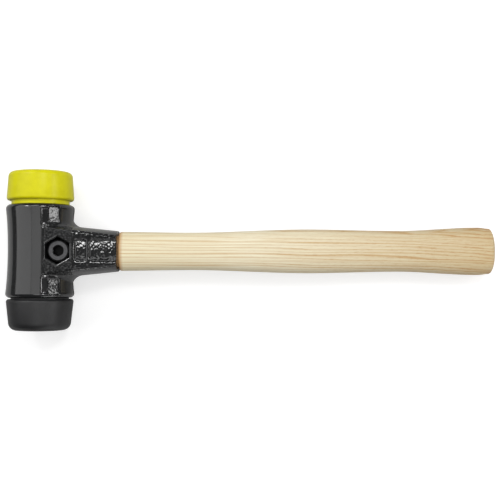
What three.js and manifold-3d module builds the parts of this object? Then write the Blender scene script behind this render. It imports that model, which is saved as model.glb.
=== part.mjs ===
// Soft face hammer: a cast housing in two halves, which one screw clamps round two faces and a handle.
// Millimetres. +X runs along the handle to the butt, +Y along the strike axis to the hard face, and +Z up
// through the clamp screw. The hammer lies on its side, with the origin on the surface under the middle of
// its box. Pieces are shaped about the head's centre, where the strike axis crosses the handle's axis.

import * as THREE from "three";
import { mergeVertices } from "three/addons/utils/BufferGeometryUtils.js";
import Module from "manifold-3d";

const HAMMER_LENGTH = 298; // from the head's far side to the end of the butt

// Clearances
const FIT = 0.3; // between pieces that seat in or on each other
const SCREW_PLAY = 0.4; // round the screw in the holes that it passes through
const SPLIT_GAP = 1.2; // between the two housing halves when they are clamped
const SHOULDER_GAP = 0.8; // between the socket's mouth and the handle's shoulder

// Exchangeable faces
const FACE_DIAMETER = 40.3; // at the lip, of a nominal 40
const LIP_ROUND = 1.6;
const HARD_FACE_HEIGHT = 17.6; // from the lip to the striking face
const HARD_FACE_DRAFT = 0.85; // radius lost between the lip and the striking edge
const HARD_FACE_ROUND = 3;
const HARD_NECK_SHOWING = 2.6; // between the lip and the housing's rim
const SOFT_FACE_HEIGHT = 19;
const SOFT_FACE_DRAFT = 1.35;
const SOFT_FACE_ROUND = 5;
const SOFT_NECK_SHOWING = 0.8;
const NECK_DIAMETER = 34.8;
const NECK_SEAT = 3; // sunk in the rim
const STUB_DIAMETER = 27.6;
const STUB_LENGTH = 13;
const STUB_CHAMFER = 1;

// Housing: barrel
const BARREL_LENGTH = 56.6;
const RIM_DIAMETER = 41.2;
const RIM_ROUND = 2.6;
const WAIST_DIAMETER = 38.6;
const FLARE_LENGTH = 10.5; // of the barrel's opening out towards a rim
const BARREL_PANEL_WIDTH = 7;
const BARREL_PANEL_HEIGHT = 9.6;
const BARREL_PANEL_CORNER = 1.2;
const BARREL_PANEL_RISE = 21.6; // of its middle above the handle's axis
const BARREL_PANEL_TURN = 37; // degrees round the barrel from the screw's side

// Housing: socket, whose oval is cut by a flat on each side
const SOCKET_REACH = 47.9; // from the strike axis to the mouth
const SOCKET_WALL = 2.6;
const SOCKET_FILLET = 6.4;
const SOCKET_ROOT_HEIGHT = 30.4;
const SOCKET_ROOT_OVAL = 63; // thickness that the oval would have without its flats
const SOCKET_MOUTH_HEIGHT = 24.9;
const SOCKET_MOUTH_OVAL = 30.6;
const FLAT_THICKNESS = 36.6; // across both flats at the screw
const FLAT_BEYOND_POCKET = 1.6; // level stretch before the flats slope down to the mouth
const FLAT_MOUTH_THICKNESS = 22;
const PANEL_DEPTH = 1.1;
const SMALL_PANEL_LENGTH = 6.6;
const SMALL_PANEL_HEIGHT = 12.6;
const SMALL_PANEL_CORNER = 1.6;
const PANEL_RIB = 1.8; // left standing before each panel on the slope
const LARGE_PANEL_HEIGHT = 13;
const LARGE_PANEL_CORNER = 2.4;

// Clamp screw and self-locking nut
const SCREW_OFFSET = 14.1; // of the screw's axis from the strike axis
const SCREW_DIAMETER = 8;
const SCREW_TIP_CHAMFER = 1;
const THREAD_PAST_NUT = 2.6;
const HEAD_DIAMETER = 13;
const HEAD_HEIGHT = 8;
const HEAD_CHAMFER = 0.9;
const HEAD_SINK = 3.1; // of the head, and of the nut, below the flat
const KEY_FLATS = 6;
const KEY_DEPTH = 5;
const NUT_FLATS = 13;
const NUT_HEIGHT = 8;
const NUT_COLLAR_DIAMETER = 12.2;
const NUT_COLLAR_HEIGHT = 2.4;
const LOCK_RING_WALL = 1.2;
const LOCK_RING_HEIGHT = 1.8;
const LOCK_RING_SINK = 0.3;
const POCKET_DRAFT = 2; // degrees on each of the pocket's walls

// Handle, whose stretch from waist to belly takes up the hammer's length
const TANG_PAST_SCREW = 10;
const TANG_END_HEIGHT = 17.6;
const TANG_END_THICKNESS = 7;
const TANG_CHAMFER = 1.5;
const TANG_SQUARENESS = 3.2; // 2 is an ellipse, and more is nearer to a rectangle
const GRIP_SQUARENESS = 2.5;
const SHOULDER_ROUND = 1.5;
const SHOULDER_HEIGHT = 23.8;
const SHOULDER_THICKNESS = 19.6;
const SHOULDER_TO_WAIST = 43.5;
const WAIST_HEIGHT = 22.9;
const WAIST_THICKNESS = 18.8;
const BELLY_HEIGHT = 26.8;
const BELLY_THICKNESS = 21.5;
const BELLY_TO_PALM = 55;
const PALM_HEIGHT = 24.9;
const PALM_THICKNESS = 20.2;
const PALM_TO_BUTT = 49.5;
const BUTT_HEIGHT = 29;
const BUTT_THICKNESS = 23.2;
const BUTT_TO_CROWN = 6.1;
const CROWN_HEIGHT = 27.8;
const CROWN_THICKNESS = 22.2;
const CROWN_RISE = 3.8; // of the domed end

// Facets
const BARREL_SIDES = 48;
const FACE_SIDES = 48;
const SCREW_SIDES = 24;
const RING_POINTS = 32;
const CURVE_STEPS = 3;
const SOCKET_STEPS = 16;
const SOCKET_LEVELS = 10;
const GRIP_STEPS = 5;
const CROWN_STEPS = 6;
const CUT_PAST = 2; // that a cutting shape runs past what it cuts

// Sizes worked out from those above
const rimHeight = BARREL_LENGTH / 2;
const rimRadius = RIM_DIAMETER / 2;
const waistRadius = WAIST_DIAMETER / 2;
const neckFoot = rimHeight - NECK_SEAT;
const stubEnd = neckFoot - STUB_LENGTH;
const flatTop = FLAT_THICKNESS / 2;
const flatMouthTop = FLAT_MOUTH_THICKNESS / 2;
const seatLevel = flatTop - HEAD_SINK - Math.max(HEAD_HEIGHT, NUT_HEIGHT);
const pocketFlats = Math.max(HEAD_DIAMETER, NUT_FLATS) + 2 * FIT;
const slopeStart = SCREW_OFFSET + pocketFlats / 2 + FLAT_BEYOND_POCKET;
const screwLength = 2 * seatLevel + NUT_HEIGHT + THREAD_PAST_NUT;
const screwHoleRadius = SCREW_DIAMETER / 2 + SCREW_PLAY;
const headRadius = Math.max(rimRadius, FACE_DIAMETER / 2);
const hardReach = rimHeight + HARD_NECK_SHOWING + HARD_FACE_HEIGHT;
const softReach = rimHeight + SOFT_NECK_SHOWING + SOFT_FACE_HEIGHT;
const shoulderAt = SOCKET_REACH + SHOULDER_GAP;
const buttEnd = HAMMER_LENGTH - headRadius;
const bellyAt = buttEnd - CROWN_RISE - BUTT_TO_CROWN - PALM_TO_BUTT - BELLY_TO_PALM;
const waistToBelly = bellyAt - shoulderAt - SHOULDER_TO_WAIST;
const tangEnd = SCREW_OFFSET - TANG_PAST_SCREW;

const wasm = await Module();
wasm.setup();

// A closed geometry as a solid that can be joined and cut.
function solidOf(geometry) {
  const bare = geometry.clone();
  bare.deleteAttribute("normal");
  bare.deleteAttribute("uv");
  const merged = mergeVertices(bare);
  const vertProperties = merged.attributes.position.array;
  const triVerts = new Uint32Array(merged.index.array);
  return new wasm.Manifold(new wasm.Mesh({ numProp: 3, vertProperties, triVerts }));
}

function geometryOf(solid) {
  const { vertProperties, triVerts } = solid.getMesh();
  const geometry = new THREE.BufferGeometry();
  geometry.setAttribute("position", new THREE.BufferAttribute(vertProperties, 3));
  geometry.setIndex(new THREE.BufferAttribute(triVerts, 1));
  geometry.computeVertexNormals();
  return geometry;
}

// A solid turned about Y from a half outline that starts and ends on the axis.
function turned(outline, sides) {
  return solidOf(new THREE.LatheGeometry(outline.getPoints(CURVE_STEPS), sides));
}

// A solid of one outline in the XY plane, from one height to another.
function raised(shape, bottom, top) {
  const options = { depth: top - bottom, bevelEnabled: false, curveSegments: 2 * CURVE_STEPS };
  return solidOf(new THREE.ExtrudeGeometry(shape, options).translate(0, 0, bottom));
}

// A hexagonal prism along Z with two flats square to X, which may open out towards the top.
function hexagonal(bottomFlats, topFlats, bottom, top) {
  const sides = 6;
  const cornersPerFlats = 1 / Math.sqrt(3);
  const prism = new THREE.CylinderGeometry(
    topFlats * cornersPerFlats,
    bottomFlats * cornersPerFlats,
    top - bottom,
    sides,
  );
  return solidOf(prism.rotateX(Math.PI / 2).translate(0, 0, (top + bottom) / 2));
}

function round(radius, bottom, top) {
  const rod = new THREE.CylinderGeometry(radius, radius, top - bottom, SCREW_SIDES);
  return solidOf(rod.rotateX(Math.PI / 2).translate(0, 0, (top + bottom) / 2));
}

// A solid through rings of points that follow each other along X, closed flat at both ends.
function lofted(rings) {
  const count = rings[0].length;
  const lastRing = (rings.length - 1) * count;
  const points = rings.flat();
  const middle = (ring) => {
    const total = ring.reduce((sum, point) => sum.add(point), new THREE.Vector3());
    return total.divideScalar(count);
  };
  const startMiddle = points.push(middle(rings[0])) - 1;
  const endMiddle = points.push(middle(rings[rings.length - 1])) - 1;
  const triangles = [];
  for (let side = 0; side < count; side += 1) {
    const next = (side + 1) % count;
    triangles.push(startMiddle, next, side);
    triangles.push(endMiddle, lastRing + side, lastRing + next);
    for (let ring = 0; ring < lastRing; ring += count) {
      triangles.push(ring + side, ring + next, ring + count + side);
      triangles.push(ring + next, ring + count + next, ring + count + side);
    }
  }
  const geometry = new THREE.BufferGeometry().setFromPoints(points);
  geometry.setIndex(triangles);
  return solidOf(geometry);
}

// One ring of a loft: an oval that is squarer the higher its squareness.
function ovalRing(x, height, thickness, squareness) {
  const bulge = (share) => Math.sign(share) * Math.abs(share) ** (2 / squareness);
  return Array.from({ length: RING_POINTS }, (_, point) => {
    const angle = (point / RING_POINTS) * 2 * Math.PI;
    const y = (height / 2) * bulge(Math.cos(angle));
    const z = (thickness / 2) * bulge(Math.sin(angle));
    return new THREE.Vector3(x, y, z);
  });
}

function roundedRectangle(left, right, halfHeight, corner) {
  const shape = new THREE.Shape();
  shape.moveTo(left + corner, -halfHeight);
  shape.lineTo(right - corner, -halfHeight);
  shape.absarc(right - corner, corner - halfHeight, corner, -Math.PI / 2, 0);
  shape.lineTo(right, halfHeight - corner);
  shape.absarc(right - corner, halfHeight - corner, corner, 0, Math.PI / 2);
  shape.lineTo(left + corner, halfHeight);
  shape.absarc(left + corner, halfHeight - corner, corner, Math.PI / 2, Math.PI);
  shape.lineTo(left, corner - halfHeight);
  shape.absarc(left + corner, corner - halfHeight, corner, Math.PI, 1.5 * Math.PI);
  return shape;
}

// A face: stub, neck, lip, drafted side and rounded striking edge, shaped along +Y.
function faceInsert(neckShowing, height, draft, strikeRound) {
  const stubRadius = STUB_DIAMETER / 2;
  const neckRadius = NECK_DIAMETER / 2;
  const lipRadius = FACE_DIAMETER / 2;
  const lip = rimHeight + neckShowing;
  const strike = lip + height;
  const edgeRadius = lipRadius - draft;
  const outline = new THREE.Path();
  outline.moveTo(0, stubEnd);
  outline.lineTo(stubRadius - STUB_CHAMFER, stubEnd);
  outline.lineTo(stubRadius, stubEnd + STUB_CHAMFER);
  outline.lineTo(stubRadius, neckFoot);
  outline.lineTo(neckRadius, neckFoot);
  outline.lineTo(neckRadius, lip);
  outline.lineTo(lipRadius - LIP_ROUND, lip);
  outline.absarc(lipRadius - LIP_ROUND, lip + LIP_ROUND, LIP_ROUND, -Math.PI / 2, 0);
  outline.lineTo(edgeRadius, strike - strikeRound);
  outline.absarc(edgeRadius - strikeRound, strike - strikeRound, strikeRound, 0, Math.PI / 2);
  outline.lineTo(0, strike);
  return turned(outline, FACE_SIDES);
}

// The barrel before anything is cut in it, with rims that flare out from the waist.
function barrelBody() {
  const flareEnd = rimHeight - RIM_ROUND;
  const flareStart = flareEnd - FLARE_LENGTH;
  const outline = new THREE.Path();
  outline.moveTo(0, -rimHeight);
  outline.lineTo(rimRadius - RIM_ROUND, -rimHeight);
  outline.absarc(rimRadius - RIM_ROUND, -flareEnd, RIM_ROUND, -Math.PI / 2, 0);
  outline.quadraticCurveTo(waistRadius, -flareStart, waistRadius, 0);
  outline.quadraticCurveTo(waistRadius, flareStart, rimRadius, flareEnd);
  outline.absarc(rimRadius - RIM_ROUND, flareEnd, RIM_ROUND, 0, Math.PI / 2);
  outline.lineTo(0, rimHeight);
  return turned(outline, BARREL_SIDES);
}

// Height of the flat above the split, level at the screw and then falling to the mouth.
function flatAt(x) {
  const fall = (flatTop - flatMouthTop) / (SOCKET_REACH - slopeStart);
  return flatTop - fall * Math.max(x - slopeStart, 0);
}

// The housing's side view under its flat, as a solid from rim to rim.
function underFlat(sink) {
  const end = SOCKET_REACH + CUT_PAST;
  const side = new THREE.Shape();
  side.moveTo(-rimRadius, 0);
  side.lineTo(end, 0);
  side.lineTo(end, flatAt(end) - sink);
  side.lineTo(slopeStart, flatTop - sink);
  side.lineTo(-rimRadius, flatTop - sink);
  const body = new THREE.ExtrudeGeometry(side, { depth: BARREL_LENGTH, bevelEnabled: false });
  return solidOf(body.translate(0, 0, -rimHeight).rotateX(Math.PI / 2));
}

// The oval socket under its flat. Its sides run out into the barrel in a fillet that fades towards the flat.
function socketBody() {
  const fillet = (z) => SOCKET_FILLET * Math.max(1 - (z / flatTop) ** 2, 0);
  const barrelSide = (z) => Math.sqrt(Math.max(waistRadius ** 2 - z ** 2, 0));
  const filletRise = (x, z) => {
    const short = THREE.MathUtils.clamp(fillet(z) + barrelSide(z) - x, 0, fillet(z));
    return fillet(z) - Math.sqrt(fillet(z) ** 2 - short ** 2);
  };
  const ringAt = (x) => {
    const share = (x - rimRadius) / (SOCKET_REACH - rimRadius);
    const halfHeight = THREE.MathUtils.lerp(SOCKET_ROOT_HEIGHT, SOCKET_MOUTH_HEIGHT, share) / 2;
    const halfOval = THREE.MathUtils.lerp(SOCKET_ROOT_OVAL, SOCKET_MOUTH_OVAL, share) / 2;
    const hardSide = [];
    for (let level = 0; level <= SOCKET_LEVELS; level += 1) {
      const z = Math.min((level / SOCKET_LEVELS) * (flatAt(x) + CUT_PAST), halfOval);
      const y = halfHeight * Math.sqrt(1 - (z / halfOval) ** 2) + filletRise(x, z);
      hardSide.push(new THREE.Vector3(x, y, z));
    }
    const softSide = hardSide.map((point) => new THREE.Vector3(x, -point.y, point.z));
    return [...hardSide, ...softSide.reverse()];
  };
  const rings = [];
  for (let step = 0; step <= SOCKET_STEPS; step += 1) {
    rings.push(ringAt(THREE.MathUtils.lerp(0, waistRadius + SOCKET_FILLET, step / SOCKET_STEPS)));
  }
  rings.push(ringAt(SOCKET_REACH));
  return lofted(rings).intersect(underFlat(0));
}

// Sunk panels on the slope: a small one behind the pocket, and a large one that runs out at the mouth.
function slopePanels() {
  const smallStart = slopeStart + PANEL_RIB;
  const smallEnd = smallStart + SMALL_PANEL_LENGTH;
  const largeStart = smallEnd + PANEL_RIB;
  const largeEnd = SOCKET_REACH + LARGE_PANEL_CORNER + CUT_PAST;
  const small = roundedRectangle(smallStart, smallEnd, SMALL_PANEL_HEIGHT / 2, SMALL_PANEL_CORNER);
  const large = roundedRectangle(largeStart, largeEnd, LARGE_PANEL_HEIGHT / 2, LARGE_PANEL_CORNER);
  const top = flatTop + CUT_PAST;
  return raised(small, 0, top).add(raised(large, 0, top)).subtract(underFlat(PANEL_DEPTH));
}

// Sunk panels beside the rims, on the barrel's handle side.
function barrelPanels() {
  const halfWidth = BARREL_PANEL_WIDTH / 2;
  const shape = roundedRectangle(-halfWidth, halfWidth, BARREL_PANEL_HEIGHT / 2, BARREL_PANEL_CORNER);
  const floor = waistRadius - PANEL_DEPTH / 2;
  const turn = THREE.MathUtils.degToRad(BARREL_PANEL_TURN);
  const [hardSide, softSide] = [1, -1].map((side) => {
    const options = { depth: rimRadius - floor + CUT_PAST, bevelEnabled: false, curveSegments: CURVE_STEPS };
    const block = new THREE.ExtrudeGeometry(shape, options);
    return solidOf(block.translate(0, side * BARREL_PANEL_RISE, floor).rotateY(turn));
  });
  return hardSide.add(softSide);
}

// The bore and counterbore that one face's stub and neck go into.
function faceBore() {
  const boreRadius = STUB_DIAMETER / 2 + FIT;
  const seatRadius = NECK_DIAMETER / 2 + FIT;
  const mouth = rimHeight + CUT_PAST;
  const outline = new THREE.Path();
  outline.moveTo(0, stubEnd - FIT);
  outline.lineTo(boreRadius, stubEnd - FIT);
  outline.lineTo(boreRadius, neckFoot - FIT);
  outline.lineTo(seatRadius, neckFoot - FIT);
  outline.lineTo(seatRadius, mouth);
  outline.lineTo(0, mouth);
  return outline;
}

// Rings of the wedge-shaped tang, grown by a clearance for the cavity that holds it.
function tangRings(grow, endAt) {
  const mouthHeight = SOCKET_MOUTH_HEIGHT - 2 * (SOCKET_WALL + FIT);
  const mouthThickness = FLAT_MOUTH_THICKNESS - 2 * (PANEL_DEPTH + SOCKET_WALL + FIT);
  const ring = (x, height, thickness) => {
    return ovalRing(x, height + 2 * grow, thickness + 2 * grow, TANG_SQUARENESS);
  };
  return [
    ring(tangEnd - grow, TANG_END_HEIGHT - 2 * TANG_CHAMFER, TANG_END_THICKNESS - 2 * TANG_CHAMFER),
    ring(tangEnd - grow + TANG_CHAMFER, TANG_END_HEIGHT, TANG_END_THICKNESS),
    ring(SOCKET_REACH, mouthHeight, mouthThickness),
    ring(endAt, mouthHeight, mouthThickness),
  ];
}

// One half of the housing, on the screw head's side. Both halves are the same casting.
function housingHalf() {
  const reach = 2 * SOCKET_REACH + RIM_DIAMETER;
  const above = new THREE.BoxGeometry(reach, BARREL_LENGTH, FLAT_THICKNESS + RIM_DIAMETER);
  above.translate(0, 0, (FLAT_THICKNESS + RIM_DIAMETER + SPLIT_GAP) / 2);
  const pocketTop = flatTop + CUT_PAST;
  const pocketGrowth = 2 * (pocketTop - seatLevel + FIT) * Math.tan(THREE.MathUtils.degToRad(POCKET_DRAFT));
  const pocket = hexagonal(pocketFlats, pocketFlats + pocketGrowth, seatLevel - FIT, pocketTop);
  const bore = new THREE.LatheGeometry(faceBore().getPoints(CURVE_STEPS), FACE_SIDES);
  const half = barrelBody().add(socketBody()).intersect(solidOf(above));
  return half
    .subtract(solidOf(bore))
    .subtract(solidOf(bore.clone().rotateX(Math.PI)))
    .subtract(lofted(tangRings(FIT, SOCKET_REACH + CUT_PAST)))
    .subtract(pocket.translate(SCREW_OFFSET, 0, 0))
    .subtract(round(screwHoleRadius, -CUT_PAST, pocketTop).translate(SCREW_OFFSET, 0, 0))
    .subtract(slopePanels())
    .subtract(barrelPanels());
}

// The socket-head screw along +Z, with its seat at zero.
function clampScrew() {
  const headRadius = HEAD_DIAMETER / 2;
  const shankRadius = SCREW_DIAMETER / 2;
  const outline = new THREE.Path();
  outline.moveTo(0, -screwLength);
  outline.lineTo(shankRadius - SCREW_TIP_CHAMFER, -screwLength);
  outline.lineTo(shankRadius, SCREW_TIP_CHAMFER - screwLength);
  outline.lineTo(shankRadius, 0);
  outline.lineTo(headRadius, 0);
  outline.lineTo(headRadius, HEAD_HEIGHT - HEAD_CHAMFER);
  outline.lineTo(headRadius - HEAD_CHAMFER, HEAD_HEIGHT);
  outline.lineTo(0, HEAD_HEIGHT);
  const body = new THREE.LatheGeometry(outline.getPoints(CURVE_STEPS), SCREW_SIDES).rotateX(Math.PI / 2);
  const key = hexagonal(KEY_FLATS, KEY_FLATS, HEAD_HEIGHT - KEY_DEPTH, HEAD_HEIGHT + CUT_PAST);
  return solidOf(body).subtract(key);
}

// The nut and its locking ring stand on zero along +Z, with the ring in the collar at the top.
function clampNut() {
  const ringSeat = NUT_HEIGHT - LOCK_RING_SINK - LOCK_RING_HEIGHT - FIT;
  const ringRoom = screwHoleRadius + LOCK_RING_WALL + FIT;
  return hexagonal(NUT_FLATS, NUT_FLATS, 0, NUT_HEIGHT - NUT_COLLAR_HEIGHT)
    .add(round(NUT_COLLAR_DIAMETER / 2, 0, NUT_HEIGHT))
    .subtract(round(screwHoleRadius, -CUT_PAST, NUT_HEIGHT + CUT_PAST))
    .subtract(round(ringRoom, ringSeat, NUT_HEIGHT + CUT_PAST));
}

function lockingRing() {
  const top = NUT_HEIGHT - LOCK_RING_SINK;
  const bottom = top - LOCK_RING_HEIGHT;
  const hole = round(screwHoleRadius, bottom - CUT_PAST, top + CUT_PAST);
  return round(screwHoleRadius + LOCK_RING_WALL, bottom, top).subtract(hole);
}

// Sections of the grip that the curves pass through, each a low or a high point of the outline.
function gripSections() {
  const runs = [0, SHOULDER_TO_WAIST, waistToBelly, BELLY_TO_PALM, PALM_TO_BUTT, BUTT_TO_CROWN];
  const heights = [SHOULDER_HEIGHT, WAIST_HEIGHT, BELLY_HEIGHT, PALM_HEIGHT, BUTT_HEIGHT, CROWN_HEIGHT];
  const thicknesses = [
    SHOULDER_THICKNESS,
    WAIST_THICKNESS,
    BELLY_THICKNESS,
    PALM_THICKNESS,
    BUTT_THICKNESS,
    CROWN_THICKNESS,
  ];
  let x = shoulderAt;
  return runs.map((run, index) => {
    x += run;
    return { x, height: heights[index], thickness: thicknesses[index] };
  });
}

function shoulderRings() {
  const rings = [];
  for (let step = 0; step < CURVE_STEPS; step += 1) {
    const angle = (step / CURVE_STEPS) * (Math.PI / 2);
    const x = shoulderAt + SHOULDER_ROUND * (1 - Math.cos(angle));
    const short = 2 * SHOULDER_ROUND * (1 - Math.sin(angle));
    rings.push(ovalRing(x, SHOULDER_HEIGHT - short, SHOULDER_THICKNESS - short, GRIP_SQUARENESS));
  }
  return rings;
}

// Rings between the grip's sections, eased so that the outline runs level through each of them.
function gripRings(sections) {
  const rings = [];
  for (let index = 1; index < sections.length; index += 1) {
    const from = sections[index - 1];
    const to = sections[index];
    const start = index === 1 ? from.x + SHOULDER_ROUND : from.x;
    for (let step = 0; step < GRIP_STEPS; step += 1) {
      const x = THREE.MathUtils.lerp(start, to.x, step / GRIP_STEPS);
      const ease = THREE.MathUtils.smoothstep(x, from.x, to.x);
      const height = THREE.MathUtils.lerp(from.height, to.height, ease);
      const thickness = THREE.MathUtils.lerp(from.thickness, to.thickness, ease);
      rings.push(ovalRing(x, height, thickness, GRIP_SQUARENESS));
    }
  }
  return rings;
}

function crownRings(section) {
  const flatness = 0.6;
  const flatEnd = 0.97;
  const rings = [];
  for (let step = 0; step <= CROWN_STEPS; step += 1) {
    const along = flatEnd * Math.sin((step / CROWN_STEPS) * (Math.PI / 2));
    const share = (1 - along ** 2) ** flatness;
    const x = section.x + (CROWN_RISE * along) / flatEnd;
    rings.push(ovalRing(x, section.height * share, section.thickness * share, GRIP_SQUARENESS));
  }
  return rings;
}

// The handle: tang, shoulder, waisted grip and domed butt, drilled across the tang for the screw.
function handleBody(sections) {
  const tang = tangRings(0, shoulderAt);
  const grip = [...shoulderRings(), ...gripRings(sections), ...crownRings(sections[sections.length - 1])];
  const hole = round(screwHoleRadius, -SHOULDER_THICKNESS, SHOULDER_THICKNESS);
  return lofted([...tang, ...grip]).subtract(hole.translate(SCREW_OFFSET, 0, 0));
}

function named(name, solid, color, roughness, metalness) {
  const material = new THREE.MeshStandardMaterial({ color, roughness, metalness });
  const mesh = new THREE.Mesh(geometryOf(solid), material);
  mesh.name = name;
  return mesh;
}

// Assembly
const paint = [0x161718, 0.35, 0.1];
const casting = housingHalf();
const frontHalf = named("front_housing_half", casting, ...paint);
const rearHalf = named("rear_housing_half", casting, ...paint);
rearHalf.rotation.x = Math.PI;

const hardInsert = faceInsert(HARD_NECK_SHOWING, HARD_FACE_HEIGHT, HARD_FACE_DRAFT, HARD_FACE_ROUND);
const softInsert = faceInsert(SOFT_NECK_SHOWING, SOFT_FACE_HEIGHT, SOFT_FACE_DRAFT, SOFT_FACE_ROUND);
const hardFace = named("hard_face_insert", hardInsert, 0xd8d226, 0.4, 0);
const softFace = named("soft_face_insert", softInsert, 0x2c2d2f, 0.7, 0);
softFace.rotation.x = Math.PI;

const screw = named("clamp_screw", clampScrew(), 0x4a4b4d, 0.4, 0.9);
screw.position.z = seatLevel;
const nut = named("clamp_nut", clampNut(), 0x9c9d9b, 0.35, 0.9);
const ring = named("nut_locking_ring", lockingRing(), 0x6f8fae, 0.5, 0);
const nutSeat = new THREE.Group();
nutSeat.rotation.x = Math.PI;
nutSeat.position.z = -seatLevel;
nutSeat.add(nut, ring);
const clamp = new THREE.Group();
clamp.position.x = SCREW_OFFSET;
clamp.add(screw, nutSeat);

const sections = gripSections();
const handle = named("handle", handleBody(sections), 0xe3cd9c, 0.55, 0);

const hammer = new THREE.Group();
hammer.add(frontHalf, rearHalf, hardFace, softFace, clamp, handle);
hammer.position.set((headRadius - buttEnd) / 2, (softReach - hardReach) / 2, Math.max(headRadius, flatTop));

export default hammer;
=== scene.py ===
import math

import bmesh
import bpy
from mathutils import Matrix, Vector, noise


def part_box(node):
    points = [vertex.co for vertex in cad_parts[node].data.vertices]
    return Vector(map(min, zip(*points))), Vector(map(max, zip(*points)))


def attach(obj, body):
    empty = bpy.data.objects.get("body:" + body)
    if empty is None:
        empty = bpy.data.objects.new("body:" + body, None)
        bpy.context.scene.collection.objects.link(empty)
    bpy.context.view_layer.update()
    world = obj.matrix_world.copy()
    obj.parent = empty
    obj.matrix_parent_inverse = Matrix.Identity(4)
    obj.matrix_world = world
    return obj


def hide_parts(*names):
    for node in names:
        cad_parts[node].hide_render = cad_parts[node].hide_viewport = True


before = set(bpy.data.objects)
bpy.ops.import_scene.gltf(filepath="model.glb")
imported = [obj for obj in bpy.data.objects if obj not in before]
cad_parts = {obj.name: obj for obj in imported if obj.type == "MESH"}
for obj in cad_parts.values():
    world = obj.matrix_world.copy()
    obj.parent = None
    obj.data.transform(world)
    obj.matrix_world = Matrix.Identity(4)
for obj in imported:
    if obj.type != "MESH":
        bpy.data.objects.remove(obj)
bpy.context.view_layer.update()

# Sizes are in millimetres about the head's centre, and angles in degrees, unless said otherwise.
# X runs along the handle, Y to the hard face and Z up through the screw.
MILLIMETRE = 0.001
FIT = 0.3
SCREW_PLAY = 0.4
SPLIT_GAP = 1.2
SHOULDER_GAP = 0.8

# Exchangeable faces
FACE_DIAMETER = 40.3
LIP_ROUND = 1.6
HARD_FACE_HEIGHT = 17.6
HARD_FACE_DRAFT = 0.85
HARD_FACE_ROUND = 3
HARD_NECK_SHOWING = 2.6
SOFT_FACE_HEIGHT = 19
SOFT_FACE_DRAFT = 1.35
SOFT_FACE_ROUND = 5
SOFT_NECK_SHOWING = 0.8
NECK_DIAMETER = 34.8
NECK_SEAT = 3
STUB_DIAMETER = 27.6
STUB_LENGTH = 13
STUB_CHAMFER = 1

# Barrel of the housing and its panels
BARREL_LENGTH = 56.6
RIM_DIAMETER = 41.2
RIM_ROUND = 2.6
WAIST_DIAMETER = 38.6
FLARE_LENGTH = 10.5
BARREL_PANEL_WIDTH = 7
BARREL_PANEL_HEIGHT = 9.6
BARREL_PANEL_CORNER = 1.2
BARREL_PANEL_RISE = 21.6
BARREL_PANEL_TURN = 37

# Shallow field round each panel of the barrel: lengths along the barrel, then turns round it
FIELD_DEPTH = 0.4
FIELD_START = 15
FIELD_START_EDGE = 1.5
FIELD_TO_RIM = 3.5
FIELD_RIM_EDGE = 1.3
FIELD_CREST = 14
FIELD_CREST_TURN = 3
FIELD_FADE_START = 55
FIELD_FADE_END = 75

# Socket of the housing, its flat, the panels on the flat's slope and the pocket of the screw
SOCKET_REACH = 47.9
SOCKET_WALL = 2.6
SOCKET_FILLET = 6.4
SOCKET_ROOT_HEIGHT = 30.4
SOCKET_ROOT_OVAL = 63
SOCKET_MOUTH_HEIGHT = 24.9
SOCKET_MOUTH_OVAL = 30.6
FLAT_THICKNESS = 36.6
FLAT_BEYOND_POCKET = 1.6
FLAT_MOUTH_THICKNESS = 22
PANEL_DEPTH = 1.1
SMALL_PANEL_LENGTH = 6.6
SMALL_PANEL_HEIGHT = 12.6
SMALL_PANEL_CORNER = 1.6
PANEL_RIB = 1.8
LARGE_PANEL_HEIGHT = 13
LARGE_PANEL_CORNER = 2.4
POCKET_DRAFT = 2
POCKET_CHAMFER_DEPTH = 0.42

# Clamp screw
SCREW_OFFSET = 14.1
SCREW_DIAMETER = 8
SCREW_TIP_CHAMFER = 1
THREAD_PITCH = 1.25
THREAD_DEPTH = 0.6
THREAD_PAST_NUT = 2.6
THREAD_IN_HEAD = 0.5
HEAD_DIAMETER = 13
HEAD_HEIGHT = 8
HEAD_CHAMFER = 0.9
HEAD_FOOT_CHAMFER = 0.4
HEAD_SINK = 3.1
KNURL_RIDGES = 72
KNURL_DEPTH = 0.22
KNURL_FOOT = 0.9
KNURL_TO_CHAMFER = 0.6
KEY_FLATS = 6
KEY_DEPTH = 5
KEY_CHAMFER = 0.6
KEY_CHAMFER_PAST = 0.2

# Nut and its locking ring
NUT_FLATS = 13
NUT_HEIGHT = 8
NUT_CORNER_SLOPE = 30
NUT_CORNER_INSET = 0.2
NUT_COLLAR_DIAMETER = 12.2
NUT_COLLAR_HEIGHT = 2.4
NUT_COLLAR_ROUND = 0.8
NUT_COLLAR_FOOT = 0.5
LOCK_RING_WALL = 1.2
LOCK_RING_HEIGHT = 1.8
LOCK_RING_SINK = 0.3
LOCK_RING_CHAMFER = 0.2
LOCK_RING_LEAD = 0.3

# Handle: X of each section of the grip from the last one, its height and its thickness
TANG_PAST_SCREW = 10
TANG_END_HEIGHT = 17.6
TANG_END_THICKNESS = 7
TANG_CHAMFER = 1.5
TANG_SQUARENESS = 3.2
GRIP_SQUARENESS = 2.5
SHOULDER_ROUND = 1.5
SHOULDER = (0, 23.8, 19.6)
WAIST = (43.5, 22.9, 18.8)
BELLY = (70.8, 26.8, 21.5)
PALM = (55, 24.9, 20.2)
BUTT = (49.5, 29, 23.2)
CROWN = (6.1, 27.8, 22.2)
GRIP = (SHOULDER, WAIST, BELLY, PALM, BUTT, CROWN)
CROWN_RISE = 3.8
CROWN_FULLNESS = 0.97
CROWN_POWER = 0.6

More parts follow.
